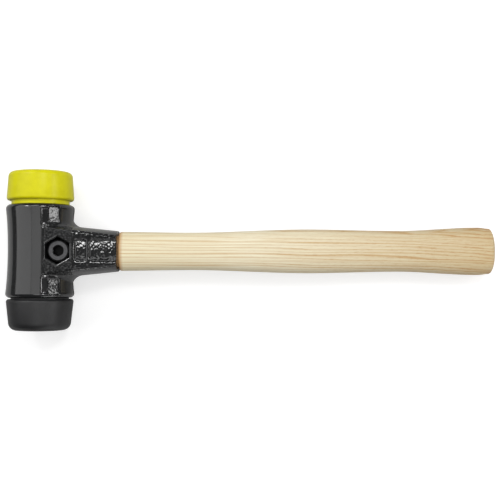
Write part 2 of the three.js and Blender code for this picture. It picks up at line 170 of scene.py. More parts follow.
# Cast skin: the fall of its edges and frames, the swell of its panels, and its lumps
EDGE_WIDTH = 1.2
EDGE_SLOPE = 20
EDGE_SMOOTHING = 2
FRAME_WIDTH = 0.8
FRAME_SLOPE = 12
FRAME_FADE = 0.3
PANEL_SWELL = 0.8
PANEL_CREST = -2
BARREL_PANEL_SWELL = 0.12
LEVEL_LUMPS = 0.19
SLOPE_LUMPS = 0.14
FLOOR_LUMPS = 0.11
FLAT_LUMP_SIZE = 1.3
BARREL_FLOOR_LUMPS = 0.05
BARREL_FLOOR_LUMP_SIZE = 1.1
FAINT_LUMPS = 0.005
FAINT_LUMP_SIZE = 2.4
FLOOR_COARSENESS = 0.3
LUMP_TURN = Matrix.Rotation(0.7, 3, (1, 2, 3))

# How near a point has to be to count as on a surface
NEAR_BARREL = 0.05
NEAR_FLAT = 0.15
NEAR_FLOOR = 0.2
NEAR_CHAMFER = 0.2
NEAR_EDGE = 0.5
NEAR_FIELD = 1.4
NEAR_HEAD = 0.1

# Growth rings of the wood, with their spacing, drift and run out of the side in metres
RING_SPACING = 0.0019
RING_DRIFT = 0.007
RING_LEAN = 0.3
RING_UNEVENNESS = 1.8
RING_RUN_OUT = 0.0045

# Fineness of the meshes: steps round a turn, along an arc and along a length, the skin's faces and
# its crease in radians, and the gaps that are welded
AROUND = 160
HANDLE_AROUND = 128
SOCKET_AROUND = 96
FASTENER_AROUND = 96
NUT_HOLE_AROUND = 64
HOLE_AROUND = 48
THREAD_STEPS = 32
ARC_STEPS = 8
LONG_STEPS = 24
FILLET_STEPS = 48
SKIN_SIZE = 0.42
SKIN_CREASE = 0.3
SKIN_SMOOTHINGS = 2
CUT_PAST = 2
WELD = 1e-4
CUT_WELD = 1e-3

# Floor, light and camera, in metres, with the lens and the sensor in millimetres
FLOOR_HALF_SIDE = 0.6
FLOOR_SHIFT = 0.34
FLOOR_GLOW_NEAR = 0.25
FLOOR_GLOW_FAR = 0.6
HEAD_AIM = (-0.13, 0, 0.02)
CAMERA_SIDE = 0.00065
CAMERA_DISTANCE = 0.539
CAMERA_TILT = math.radians(1.9)
CAMERA_LENS = 63.36
CAMERA_SENSOR = 36

# Sizes worked out from those above
rim_height = BARREL_LENGTH / 2
rim_radius = RIM_DIAMETER / 2
waist_radius = WAIST_DIAMETER / 2
neck_foot = rim_height - NECK_SEAT
stub_end = neck_foot - STUB_LENGTH
flat_top = FLAT_THICKNESS / 2
flat_mouth_top = FLAT_MOUTH_THICKNESS / 2
seat_level = flat_top - HEAD_SINK - HEAD_HEIGHT
pocket_flats = HEAD_DIAMETER + 2 * FIT
slope_start = SCREW_OFFSET + pocket_flats / 2 + FLAT_BEYOND_POCKET
screw_length = 2 * seat_level + NUT_HEIGHT + THREAD_PAST_NUT
screw_hole_radius = SCREW_DIAMETER / 2 + SCREW_PLAY
shoulder_at = SOCKET_REACH + SHOULDER_GAP
barrel_panel_floor = waist_radius - PANEL_DEPTH / 2
tang_end = SCREW_OFFSET - TANG_PAST_SCREW
chamfer_width = POCKET_CHAMFER_DEPTH / math.tan(math.radians(EDGE_SLOPE))
small_start = slope_start + PANEL_RIB
small_end = small_start + SMALL_PANEL_LENGTH
large_start = small_end + PANEL_RIB
large_end = SOCKET_REACH + LARGE_PANEL_CORNER + CUT_PAST

# Where the head's centre is in the frame
face_low, face_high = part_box("hard_face_insert")
handle_low, handle_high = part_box("handle")
head_centre = (face_low + face_high) / 2
head_centre.y = (handle_low.y + handle_high.y) / 2
HEAD_PLACE = Matrix.Translation(head_centre) @ Matrix.Scale(MILLIMETRE, 4)
TURNED_OVER = Matrix.Rotation(math.pi, 4, "X")


# Blends and outlines

def ramp(value, low, high):
    """0 below low and 1 above high, with an even rise between them."""
    return min(max((value - low) / (high - low), 0), 1)


def eased(value, low, high):
    """0 below low and 1 above high, with a smooth step between them."""
    t = ramp(value, low, high)
    return t * t * (3 - 2 * t)


def arc(centre, radius, start, end):
    """Points of an arc in the plane of an outline, from one angle in degrees to another."""
    points = []
    for step in range(ARC_STEPS + 1):
        angle = math.radians(start + (end - start) * step / ARC_STEPS)
        points.append((centre[0] + radius * math.cos(angle), centre[1] + radius * math.sin(angle)))
    return points


def bow(start, pull, end, steps):
    """Points of a curve that leaves start towards pull and comes into end from it."""
    points = []
    for step in range(steps + 1):
        t = step / steps
        shares = ((1 - t) ** 2, 2 * t * (1 - t), t * t)
        points.append(tuple(
            shares[0] * a + shares[1] * b + shares[2] * c for a, b, c in zip(start, pull, end)
        ))
    return points


# Shapes

def shifted(shape, x, y, z):
    bmesh.ops.translate(shape, verts=shape.verts, vec=(x, y, z))
    return shape


def turned_over(shape):
    bmesh.ops.transform(shape, matrix=TURNED_OVER, verts=shape.verts)
    return shape


def at_screw(shape, level=0):
    """A shape moved from the Z axis to the screw's axis, and up to a level."""
    return shifted(shape, SCREW_OFFSET, 0, level)


def line_of(shape, points):
    """Adds an open line to a shape, and gives its vertices and edges."""
    verts = [shape.verts.new(point) for point in points]
    edges = [shape.edges.new(pair) for pair in zip(verts, verts[1:])]
    return verts + edges


def spun(outline, steps=AROUND, upright=False):
    """A solid spun about Y, or about Z if upright, from a half outline of radius and height."""
    shape = bmesh.new()
    line = line_of(shape, [(r, 0, h) if upright else (r, h, 0) for r, h in outline])
    axis = (0, 0, 1) if upright else (0, 1, 0)
    bmesh.ops.spin(shape, geom=line, axis=axis, angle=2 * math.pi, steps=steps, use_merge=True)
    bmesh.ops.remove_doubles(shape, verts=shape.verts, dist=WELD)
    bmesh.ops.recalc_face_normals(shape, faces=shape.faces)
    return shape


def rod(around, rings):
    """A closed rod along X. Each ring is a function that gives its point at a share of a turn."""
    shape = bmesh.new()
    bmesh.ops.create_cone(
        shape, cap_ends=True, segments=around, radius1=1, radius2=1, depth=1
    )
    long_edges = [e for e in shape.edges if abs(e.verts[0].co.z - e.verts[1].co.z) > 0.5]
    bmesh.ops.subdivide_edges(shape, edges=long_edges, cuts=len(rings) - 2, use_grid_fill=True)
    for vert in shape.verts:
        ring = round((vert.co.z + 0.5) * (len(rings) - 1))
        turn = math.atan2(vert.co.y, vert.co.x) / (2 * math.pi)
        vert.co = rings[ring](turn % 1)
    return shape


def oval(x, height, thickness, squareness):
    """One ring of a rod: an oval that is squarer the higher its squareness."""
    def bulge(share):
        return math.copysign(abs(share) ** (2 / squareness), share)

    def place(turn):
        angle = 2 * math.pi * turn
        return Vector((x, height / 2 * bulge(math.cos(angle)), thickness / 2 * bulge(math.sin(angle))))

    return place


def prism(sides, bottom_radius, top_radius, bottom, top):
    """An upright prism or cylinder. A hexagon has two flats square to X."""
    shape = bmesh.new()
    bmesh.ops.create_cone(
        shape,
        cap_ends=True,
        segments=sides,
        radius1=bottom_radius,
        radius2=top_radius,
        depth=top - bottom,
    )
    return shifted(shape, 0, 0, (top + bottom) / 2)


def hexagon(bottom_flats, top_flats, bottom, top):
    """An upright hexagon by its widths across flats."""
    return prism(6, bottom_flats / math.sqrt(3), top_flats / math.sqrt(3), bottom, top)


def screw_hole(bottom, top):
    """The room of the screw's shank, to cut."""
    return prism(HOLE_AROUND, screw_hole_radius, screw_hole_radius, bottom, top)


def block(left, right, half_height, bottom, top, corner=0):
    """A box with its four upright edges rounded if it has a corner."""
    shape = bmesh.new()
    bmesh.ops.create_cube(shape, size=1)
    bmesh.ops.scale(shape, verts=shape.verts, vec=(right - left, 2 * half_height, top - bottom))
    shifted(shape, (left + right) / 2, 0, (bottom + top) / 2)
    if corner:
        upright = [e for e in shape.edges if abs(e.verts[0].co.z - e.verts[1].co.z) > WELD]
        bmesh.ops.bevel(
            shape,
            geom=upright,
            offset=corner,
            affect="EDGES",
            segments=ARC_STEPS,
            profile=0.5,
            material=-1,
        )
    return shape


def sheet_extruded(points, half_width):
    """A solid of one outline in the XZ plane, as wide on both sides of it."""
    shape = bmesh.new()
    face = shape.faces.new([shape.verts.new((x, -half_width, z)) for x, z in points])
    made = bmesh.ops.extrude_face_region(shape, geom=[face])["geom"]
    far_side = [g for g in made if isinstance(g, bmesh.types.BMVert)]
    bmesh.ops.translate(shape, verts=far_side, vec=(0, 2 * half_width, 0))
    bmesh.ops.recalc_face_normals(shape, faces=shape.faces)
    return shape


# Objects, joining and cutting

def mesh_of(name, shape):
    """A mesh of a shape, which goes."""
    mesh = bpy.data.meshes.new(name)
    shape.to_mesh(mesh)
    shape.free()
    return mesh


def linked(name, data):
    """A new object in the scene."""
    made = bpy.data.objects.new(name, data)
    bpy.context.scene.collection.objects.link(made)
    return made


def loose(shape):
    """A mesh object of a shape, for modifiers to work on."""
    return linked("shape", mesh_of("shape", shape))


def settle(piece):
    """Applies a loose piece's modifiers."""
    graph = bpy.context.evaluated_depsgraph_get()
    before = piece.data
    made = bpy.data.meshes.new_from_object(piece.evaluated_get(graph))
    piece.modifiers.clear()
    piece.data = made
    bpy.data.meshes.remove(before)


def discard(piece):
    """Removes a loose piece and its mesh."""
    mesh = piece.data
    bpy.data.objects.remove(piece)
    bpy.data.meshes.remove(mesh)


def combined(piece, operation, *shapes):
    """A loose piece after each shape in turn is joined to it, cut from it or left common with it."""
    for shape in shapes:
        tool = loose(shape)
        change = piece.modifiers.new("change", "BOOLEAN")
        change.operation = operation
        change.object = tool
        change.solver = "EXACT"
        settle(piece)
        discard(tool)
    return piece


def shape_of(piece):
    """The shape of a loose piece, which goes."""
    shape = bmesh.new()
    shape.from_mesh(piece.data)
    discard(piece)
    return shape


# Pieces of the housing

def barrel():
    """The solid barrel, with a waist that flares to two rounded rims."""
    flare_end = rim_height - RIM_ROUND
    flare_start = flare_end - FLARE_LENGTH
    corner = rim_radius - RIM_ROUND
    upper = bow((waist_radius, 0), (waist_radius, flare_start), (rim_radius, flare_end), LONG_STEPS)
    upper += arc((corner, flare_end), RIM_ROUND, 0, 90)[1:]
    lower = [(r, -h) for r, h in reversed(upper)]
    return spun([(0, -rim_height)] + lower + upper[1:] + [(0, rim_height)])


def flat_at(x):
    """The level of the socket's flat, which slopes down to the mouth."""
    fall = (flat_top - flat_mouth_top) / (SOCKET_REACH - slope_start)
    return flat_top - fall * max(x - slope_start, 0)


def under_flat(sink):
    """All that lies under the flat, or under a floor sunk that far below it."""
    end = SOCKET_REACH + CUT_PAST
    points = [
        (-rim_radius, 0),
        (end, 0),
        (end, flat_at(end) - sink),
        (slope_start, flat_top - sink),
        (-rim_radius, flat_top - sink),
    ]
    return sheet_extruded(points, rim_height)


def socket_half_sizes(x):
    """Half the socket's height at the split, and half of its oval's thickness."""
    share = (x - rim_radius) / (SOCKET_REACH - rim_radius)
    height = SOCKET_ROOT_HEIGHT + (SOCKET_MOUTH_HEIGHT - SOCKET_ROOT_HEIGHT) * share
    thickness = SOCKET_ROOT_OVAL + (SOCKET_MOUTH_OVAL - SOCKET_ROOT_OVAL) * share
    return height / 2, thickness / 2


def socket_ring(x):
    """A ring of the socket: oval sides that run out into the barrel in a fillet.

    The fillet fades towards the flat.
    """
    half_height, half_oval = socket_half_sizes(x)
    top = flat_at(x) + CUT_PAST

    def place(turn):
        side = 1 if turn < 0.5 else -1
        level = 2 * turn if turn < 0.5 else 2 * (1 - turn)
        z = min(level * top, half_oval)
        fillet = SOCKET_FILLET * max(1 - (z / flat_top) ** 2, 0)
        barrel_side = math.sqrt(max(waist_radius ** 2 - z ** 2, 0))
        short = min(max(fillet + barrel_side - x, 0), fillet)
        rise = fillet - math.sqrt(fillet ** 2 - short ** 2)
        y = half_height * math.sqrt(1 - (z / half_oval) ** 2) + rise
        return Vector((x, side * y, z))

    return place


def socket():
    """The oval socket under its flat."""
    fillet_end = waist_radius + SOCKET_FILLET
    rest = SOCKET_REACH - fillet_end
    xs = [fillet_end * step / FILLET_STEPS for step in range(FILLET_STEPS + 1)]
    xs += [fillet_end + rest * step / LONG_STEPS for step in range(1, LONG_STEPS + 1)]
    piece = loose(rod(SOCKET_AROUND, [socket_ring(x) for x in xs]))
    return shape_of(combined(piece, "INTERSECT", under_flat(0)))


def slope_panel(left, right, half_height, corner):
    """A sunk panel on the slope, with its floor parallel to the flat."""
    piece = loose(block(left, right, half_height, 0, flat_top + CUT_PAST, corner))
    return shape_of(combined(piece, "DIFFERENCE", under_flat(PANEL_DEPTH)))


def barrel_panel(side):
    """The room of a sunk panel beside one rim of the barrel, on the side of +Y or -Y."""
    half_width = BARREL_PANEL_WIDTH / 2
    half_height = BARREL_PANEL_HEIGHT / 2
    top = rim_radius + CUT_PAST
    shape = block(-half_width, half_width, half_height, barrel_panel_floor, top, BARREL_PANEL_CORNER)
    shifted(shape, 0, side * BARREL_PANEL_RISE, 0)
    turn = Matrix.Rotation(math.radians(BARREL_PANEL_TURN), 3, "Y")
    bmesh.ops.rotate(shape, verts=shape.verts, matrix=turn)
    return shape


def face_bore(side):
    """The room of a face's stub and neck, on the side of +Y or -Y."""
    bore_radius = STUB_DIAMETER / 2 + FIT
    seat_radius = NECK_DIAMETER / 2 + FIT
    mouth = rim_height + CUT_PAST
    outline = [
        (0, stub_end - FIT),
        (bore_radius, stub_end - FIT),
        (bore_radius, neck_foot - FIT),
        (seat_radius, neck_foot - FIT),
        (seat_radius, mouth),
        (0, mouth),
    ]
    return spun([(r, side * h) for r, h in outline])


def tang_rings(grow, end_at):
    """Rings of the tang, or of its bore if it grows."""
    mouth_height = SOCKET_MOUTH_HEIGHT - 2 * (SOCKET_WALL + FIT)
    mouth_thickness = FLAT_MOUTH_THICKNESS - 2 * (PANEL_DEPTH + SOCKET_WALL + FIT)

    def ring(x, height, thickness):
        return oval(x, height + 2 * grow, thickness + 2 * grow, TANG_SQUARENESS)

    start = tang_end - grow
    short = 2 * TANG_CHAMFER
    return [
        ring(start, TANG_END_HEIGHT - short, TANG_END_THICKNESS - short),
        ring(start + TANG_CHAMFER, TANG_END_HEIGHT, TANG_END_THICKNESS),
        ring(SOCKET_REACH, mouth_height, mouth_thickness),
        ring(end_at, mouth_height, mouth_thickness),
    ]


def sharp_casting():
    """One half of the housing with sharp edges, as a loose piece."""
    top = flat_top + CUT_PAST
    pocket_foot = seat_level - FIT
    pocket_growth = 2 * (top - pocket_foot) * math.tan(math.radians(POCKET_DRAFT))
    chamfer_foot = flat_top - POCKET_CHAMFER_DEPTH
    chamfer_growth = 2 * chamfer_width * (CUT_PAST + POCKET_CHAMFER_DEPTH) / POCKET_CHAMFER_DEPTH
    reach = SOCKET_REACH + CUT_PAST
    half = block(-reach, reach, rim_height + CUT_PAST, SPLIT_GAP / 2, rim_radius + CUT_PAST)
    piece = combined(loose(barrel()), "UNION", socket())
    combined(piece, "INTERSECT", half)
    return combined(
        piece,
        "DIFFERENCE",
        face_bore(1),
        face_bore(-1),
        rod(AROUND, tang_rings(FIT, reach)),
        at_screw(hexagon(pocket_flats, pocket_flats + pocket_growth, pocket_foot, top)),
        at_screw(hexagon(pocket_flats, pocket_flats + chamfer_growth, chamfer_foot, top)),
        at_screw(screw_hole(-CUT_PAST, top)),
        barrel_panel(1),
        barrel_panel(-1),
        slope_panel(small_start, small_end, SMALL_PANEL_HEIGHT / 2, SMALL_PANEL_CORNER),
        slope_panel(large_start, large_end, LARGE_PANEL_HEIGHT / 2, LARGE_PANEL_CORNER),
    )


def casting():
    """One half of the housing with an even skin of small faces, and its edges rounded."""
    sharp = sharp_casting()
    piece = linked("skin", sharp.data.copy())
    skin = piece.modifiers.new("skin", "REMESH")
    skin.mode = "VOXEL"
    skin.voxel_size = SKIN_SIZE
    snug = piece.modifiers.new("snug", "SHRINKWRAP")
    snug.target = sharp
    snug.wrap_method = "NEAREST_SURFACEPOINT"
    settle(piece)
    discard(sharp)
    shape = shape_of(piece)
    creases = [e for e in shape.edges if e.is_manifold and e.calc_face_angle() > SKIN_CREASE]
    creased = {v for e in creases for v in e.verts}
    near = creased | {e.other_vert(v) for v in creased for e in v.link_edges}
    for _ in range(SKIN_SMOOTHINGS):
        bmesh.ops.smooth_vert(
            shape, verts=list(near), factor=0.5, use_axis_x=True, use_axis_y=True, use_axis_z=True
        )
    return shape


def by_pocket(x, y):
    """Whether a point of the flat is on the smooth chamfer round the hexagonal pocket."""
    from_screw = Vector((x - SCREW_OFFSET, y))
    thirds = [Vector((1, 0)), Vector((0.5, math.sqrt(0.75))), Vector((0.5, -math.sqrt(0.75)))]
    chamfer_end = pocket_flats / 2 + chamfer_width
    return max(abs(from_screw.dot(third)) for third in thirds) < chamfer_end + NEAR_CHAMFER


def on_flat(point):
    """Whether a point is on the socket's flat, clear of the barrel and of the pocket's chamfer."""
    x, y, z = point
    off_barrel = x > 0 and abs(y) < FIELD_START and math.hypot(x, z) > waist_radius + NEAR_BARREL
    return off_barrel and abs(z - flat_at(x)) < NEAR_FLAT and not by_pocket(x, y)


def on_panel_floor(point):
    """Whether a point is on the floor of a sunk panel, on the slope or on the barrel."""
    x, y, z = point
    on_slope = x > slope_start and abs(y) < LARGE_PANEL_HEIGHT / 2
    if on_slope and abs(flat_at(x) - PANEL_DEPTH - z) < NEAR_FLOOR:
        return True
    turn = math.radians(BARREL_PANEL_TURN)
    across = x * math.cos(turn) - z * math.sin(turn)
    out = x * math.sin(turn) + z * math.cos(turn)
    beside_rim = abs(abs(y) - BARREL_PANEL_RISE) < BARREL_PANEL_HEIGHT / 2
    in_width = abs(across) < BARREL_PANEL_WIDTH / 2
    return beside_rim and in_width and abs(out - barrel_panel_floor) < NEAR_FLOOR


def field_depth(point):
    """How far the barrel is sunk at a point by the shallow field round each panel.

    The field runs from a crest near the top of the barrel to the socket's fillet.
    """
    x, y, z = point
    if abs(math.hypot(x, z) - waist_radius) > NEAR_FIELD or z < 0:
        return 0
    turn = math.degrees(math.atan2(x, z))
    rim_side = rim_height - FIELD_TO_RIM
    along = eased(abs(y), FIELD_START, FIELD_START + FIELD_START_EDGE)
    along *= 1 - eased(abs(y), rim_side, rim_side + FIELD_RIM_EDGE)
    round_barrel = ramp(turn, FIELD_CREST, FIELD_CREST + FIELD_CREST_TURN)
    round_barrel *= 1 - eased(turn, FIELD_FADE_START, FIELD_FADE_END)
    return FIELD_DEPTH * along * round_barrel


def lumps(point, size):
    """Uneven waves between about -1 and 1, some of that size and some of half of it."""
    at = LUMP_TURN @ point / size
    return 1.2 * noise.noise(at) + 0.6 * noise.noise(2 * at)


def pillow(point):
    """How far a sunk panel's floor swells: to a crest on the slope, and to the middle on the barrel."""
    x, y, _ = point
    if x > slope_start:
        edge = math.copysign(LARGE_PANEL_HEIGHT / 2, y - PANEL_CREST)
        return PANEL_SWELL * (1 - ((y - PANEL_CREST) / (edge - PANEL_CREST)) ** 2)
    return BARREL_PANEL_SWELL * (1 - (2 * (abs(y) - BARREL_PANEL_RISE) / BARREL_PANEL_HEIGHT) ** 2)


def edge_fall(point):
    """How far the flats fall away at their upper and lower edges, so that the edges catch the light."""
    x, y, z = point
    if x < 0 or abs(z - flat_at(x)) > EDGE_WIDTH / 2:
        return 0
    half_height, half_oval = socket_half_sizes(x)
    edge = half_height * math.sqrt(1 - (flat_at(x) / half_oval) ** 2)
    if abs(y) >= edge + NEAR_EDGE:
        return 0
    inside = min(max(edge - abs(y), 0), EDGE_WIDTH)
    return (EDGE_WIDTH - inside) * math.tan(math.radians(EDGE_SLOPE))


def frame_share(point):
    """0 on the coarse slope, and up to 1 across the smooth frame round each sunk panel."""
    x, y, _ = point
    if x < slope_start:
        return 0
    small_gap = max(small_start - x, x - small_end, abs(y) - SMALL_PANEL_HEIGHT / 2)
    large_gap = max(large_start - x, abs(y) - LARGE_PANEL_HEIGHT / 2)
    return 1 - ramp(min(small_gap, large_gap), 0, FRAME_WIDTH)


def roughened(shape):
    """Gives the flats a coarse skin, the floors of the panels a lumpy one and the rest a faint one.

    An attribute tells the paint how coarse the skin is: 1 on the flats, less towards their edges
    and the panels' frames, little on the panel floors and else 0.
    """
    shape.normal_update()
    mark = shape.verts.layers.float.new("cast_skin")
    for vert in shape.verts:
        fall = edge_fall(vert.co)
        if on_flat(vert.co):
            frame_part = frame_share(vert.co)
            coarse = 1 - max(ramp(frame_part, 0, FRAME_FADE), EDGE_SMOOTHING * fall)
            depth = LEVEL_LUMPS if vert.co.x < slope_start else SLOPE_LUMPS
            out = depth * coarse * lumps(vert.co, FLAT_LUMP_SIZE)
            out -= FRAME_WIDTH * frame_part * math.tan(math.radians(FRAME_SLOPE))
            vert[mark] = coarse
        elif on_panel_floor(vert.co):
            if vert.co.x > slope_start:
                out = FLOOR_LUMPS * lumps(vert.co, FLAT_LUMP_SIZE)
            else:
                out = BARREL_FLOOR_LUMPS * lumps(vert.co, BARREL_FLOOR_LUMP_SIZE)
            out += pillow(vert.co)
            vert[mark] = FLOOR_COARSENESS
        else:
            out = FAINT_LUMPS * lumps(vert.co, FAINT_LUMP_SIZE) - field_depth(vert.co)
        vert.co += vert.normal * (out - fall)
    return shape


# The other pieces

def face_insert(neck_showing, height, draft, strike_round):
    """A face along +Y: stub, neck, lip, drafted side and rounded striking edge."""
    stub = STUB_DIAMETER / 2
    neck = NECK_DIAMETER / 2
    lip_radius = FACE_DIAMETER / 2
    lip = rim_height + neck_showing
    strike = lip + height
    edge = lip_radius - draft
    outline = [(0, stub_end), (stub - STUB_CHAMFER, stub_end), (stub, stub_end + STUB_CHAMFER)]
    outline += [(stub, neck_foot), (neck, neck_foot), (neck, lip)]
    outline += arc((lip_radius - LIP_ROUND, lip + LIP_ROUND), LIP_ROUND, -90, 0)
    outline += arc((edge - strike_round, strike - strike_round), strike_round, 0, 90)
    outline += [(0, strike)]
    return spun(outline)


def thread():
    """The screw's threaded shank, wound as one pitch of the thread and cut off square at both ends."""
    crest = SCREW_DIAMETER / 2
    root = crest - THREAD_DEPTH
    shares = [(root, 0), (root, 0.12), (crest, 0.44), (crest, 0.56), (root, 0.88), (root, 1)]
    start = -screw_length - THREAD_PITCH
    turns = math.ceil(screw_length / THREAD_PITCH) + 1
    shape = bmesh.new()
    line = line_of(shape, [(r, 0, share * THREAD_PITCH + start) for r, share in shares])
    bmesh.ops.spin(
        shape,
        geom=line,
        axis=(0, 0, 1),
        dvec=(0, 0, THREAD_PITCH / THREAD_STEPS),
        angle=2 * math.pi * turns,
        steps=THREAD_STEPS * turns,
    )
    bmesh.ops.remove_doubles(shape, verts=shape.verts, dist=WELD)
    for level, up in ((-screw_length, False), (THREAD_IN_HEAD, True)):
        cut = bmesh.ops.bisect_plane(
            shape,
            geom=shape.verts[:] + shape.edges[:] + shape.faces[:],
            plane_co=(0, 0, level),
            plane_no=(0, 0, 1),
            clear_outer=up,
            clear_inner=not up,
        )
        rim = [g for g in cut["geom_cut"] if isinstance(g, bmesh.types.BMEdge)]
        bmesh.ops.contextual_create(shape, geom=rim)
    bmesh.ops.recalc_face_normals(shape, faces=shape.faces)
    return shape


def screw_head():
    """The screw's knurled head along +Z, with its seat at zero."""
    radius = HEAD_DIAMETER / 2
    chamfer_foot = HEAD_HEIGHT - HEAD_CHAMFER
    knurl_top = chamfer_foot - KNURL_TO_CHAMFER
    outline = [(0, 0), (radius - HEAD_FOOT_CHAMFER, 0), (radius, HEAD_FOOT_CHAMFER)]
    outline += [(radius, KNURL_FOOT), (radius, knurl_top), (radius, chamfer_foot)]
    outline += [(radius - HEAD_CHAMFER, HEAD_HEIGHT), (0, HEAD_HEIGHT)]
    steps = 2 * KNURL_RIDGES
    shape = spun(outline, steps, upright=True)
    for vert in shape.verts:
        groove = round(math.atan2(vert.co.y, vert.co.x) / (2 * math.pi) * steps) % 2
        if groove and KNURL_FOOT - NEAR_HEAD < vert.co.z < knurl_top + NEAR_HEAD:
            vert.co.xy *= 1 - KNURL_DEPTH / radius
    return shape


def clamp_screw():
    """The socket-head screw along +Z with its seat at zero.

    An attribute tells the finish which points are in the key socket, where it paints shade.
    """
    top = HEAD_HEIGHT
    key_foot = top - KEY_DEPTH
    key_radius = KEY_FLATS / math.sqrt(3)
    piece = combined(loose(screw_head()), "UNION", thread())
    combined(
        piece,
        "DIFFERENCE",
        hexagon(KEY_FLATS, KEY_FLATS, key_foot, top + CUT_PAST),
        prism(
            HOLE_AROUND,
            key_radius - KEY_CHAMFER,
            key_radius + KEY_CHAMFER_PAST,
            top - KEY_CHAMFER,
            top + KEY_CHAMFER_PAST,
        ),
    )
    tip_radius = SCREW_DIAMETER / 2 - SCREW_TIP_CHAMFER
    chamfer_outline = [
        (0, -screw_length - CUT_PAST),
        (tip_radius - CUT_PAST, -screw_length - CUT_PAST),
        (HEAD_DIAMETER, HEAD_DIAMETER - tip_radius - screw_length),
        (HEAD_DIAMETER, top + CUT_PAST),
        (0, top + CUT_PAST),
    ]
    combined(piece, "INTERSECT", spun(chamfer_outline, FASTENER_AROUND, upright=True))
    shape = shape_of(piece)
    mark = shape.verts.layers.float.new("in_socket")
    for vert in shape.verts:
        deep = key_foot - NEAR_HEAD < vert.co.z < top - KEY_CHAMFER + NEAR_HEAD
        vert[mark] = float(deep and vert.co.xy.length < key_radius + NEAR_HEAD)
    return shape


def clamp_nut():
    """The self-locking nut, standing on zero along +Z with its collar at the top."""
    body_top = NUT_HEIGHT - NUT_COLLAR_HEIGHT
    past_corner = NUT_FLATS / math.sqrt(3) + FIT
    face = NUT_FLATS / 2 - NUT_CORNER_INSET
    corner_fall = (past_corner - face) * math.tan(math.radians(NUT_CORNER_SLOPE))
    corners = [(0, 0), (face, 0), (past_corner, corner_fall)]
    corners += [(past_corner, body_top - corner_fall), (face, body_top), (0, body_top)]
    collar = NUT_COLLAR_DIAMETER / 2
    collar_outline = [(0, NUT_COLLAR_FOOT), (collar, NUT_COLLAR_FOOT)]
    collar_outline += arc(
        (collar - NUT_COLLAR_ROUND, NUT_HEIGHT - NUT_COLLAR_ROUND), NUT_COLLAR_ROUND, 0, 90
    )
    collar_outline += [(0, NUT_HEIGHT)]
    ring_seat = NUT_HEIGHT - LOCK_RING_SINK - LOCK_RING_HEIGHT - FIT
    ring_room = screw_hole_radius + LOCK_RING_WALL + FIT
    top = NUT_HEIGHT + CUT_PAST
    piece = loose(hexagon(NUT_FLATS, NUT_FLATS, 0, body_top))
    combined(piece, "INTERSECT", spun(corners, FASTENER_AROUND, upright=True))
    combined(piece, "UNION", spun(collar_outline, FASTENER_AROUND, upright=True))
    combined(
        piece,
        "DIFFERENCE",
        prism(NUT_HOLE_AROUND, screw_hole_radius, screw_hole_radius, -CUT_PAST, top),
        prism(NUT_HOLE_AROUND, ring_room, ring_room, ring_seat, top),
    )
    shape = shape_of(piece)
    bmesh.ops.remove_doubles(shape, verts=shape.verts, dist=CUT_WELD)
    return shape


def locking_ring():
    """The nylon ring in the nut's collar, with the nut standing on zero."""
    top = NUT_HEIGHT - LOCK_RING_SINK
    bottom = top - LOCK_RING_HEIGHT
    inner = screw_hole_radius
    outer = inner + LOCK_RING_WALL
    outline = [(inner, bottom), (outer, bottom), (outer, top - LOCK_RING_CHAMFER)]
    outline += [(outer - LOCK_RING_CHAMFER, top), (inner + LOCK_RING_LEAD, top)]
    outline += [(inner, top - LOCK_RING_LEAD), (inner, bottom)]
    return spun(outline, NUT_HOLE_AROUND, upright=True)


def grip_sections():
    """X, height and thickness of each section of the grip."""
    x = shoulder_at
    sections = []
    for run, height, thickness in GRIP:
        x += run
        sections.append((x, height, thickness))
    return sections


def handle():
    """The handle: tang, shoulder, waisted grip and domed butt, with a hole across the tang."""
    sections = grip_sections()
    rings = tang_rings(0, shoulder_at)
    _, shoulder_height, shoulder_thickness = sections[0]
    for step in range(ARC_STEPS):
        angle = step / ARC_STEPS * math.pi / 2
        x = shoulder_at + SHOULDER_ROUND * (1 - math.cos(angle))
        short = 2 * SHOULDER_ROUND * (1 - math.sin(angle))
        rings.append(oval(x, shoulder_height - short, shoulder_thickness - short, GRIP_SQUARENESS))
    for near, far in zip(sections, sections[1:]):
        start = near[0] + (SHOULDER_ROUND if near is sections[0] else 0)
        for step in range(LONG_STEPS):
            x = start + (far[0] - start) * step / LONG_STEPS
            share = eased(x, near[0], far[0])
            height = near[1] + (far[1] - near[1]) * share
            thickness = near[2] + (far[2] - near[2]) * share
            rings.append(oval(x, height, thickness, GRIP_SQUARENESS))
    crown_x, height, thickness = sections[-1]
    for step in range(LONG_STEPS + 1):
        along = CROWN_FULLNESS * math.sin(step / LONG_STEPS * math.pi / 2)
        x = crown_x + CROWN_RISE * along / CROWN_FULLNESS
        share = (1 - along ** 2) ** CROWN_POWER
        rings.append(oval(x, height * share, thickness * share, GRIP_SQUARENESS))
    hole = at_screw(screw_hole(-shoulder_thickness, shoulder_thickness))
    return shape_of(combined(loose(rod(HANDLE_AROUND, rings)), "DIFFERENCE", hole))


# Shader nodes

def fill(tree, made, inputs):
    """Links an output to each named input of a node, or sets the input's own value."""
    for name, value in inputs.items():
        if isinstance(value, bpy.types.NodeSocket):
            tree.links.new(value, made.inputs[name])
        else:
            made.inputs[name].default_value = value


def node(tree, kind, inputs, **settings):
    made = tree.nodes.new("ShaderNode" + kind)
    for name, value in settings.items():
        setattr(made, name, value)
    fill(tree, made, inputs)
    return made


def maths(tree, operation, first, second=0.0):
    return node(tree, "Math", {0: first, 1: second}, operation=operation).outputs[0]


def times(tree, first, second):
    return maths(tree, "MULTIPLY", first, second)


def plus(tree, first, second):
    return maths(tree, "ADD", first, second)


def spread(tree, value, low, high, to_low, to_high):
    """A value moved from one range to another, and held inside it."""
    inputs = {"Value": value, "From Min": low, "From Max": high, "To Min": to_low, "To Max": to_high}
    return node(tree, "MapRange", inputs).outputs[0]


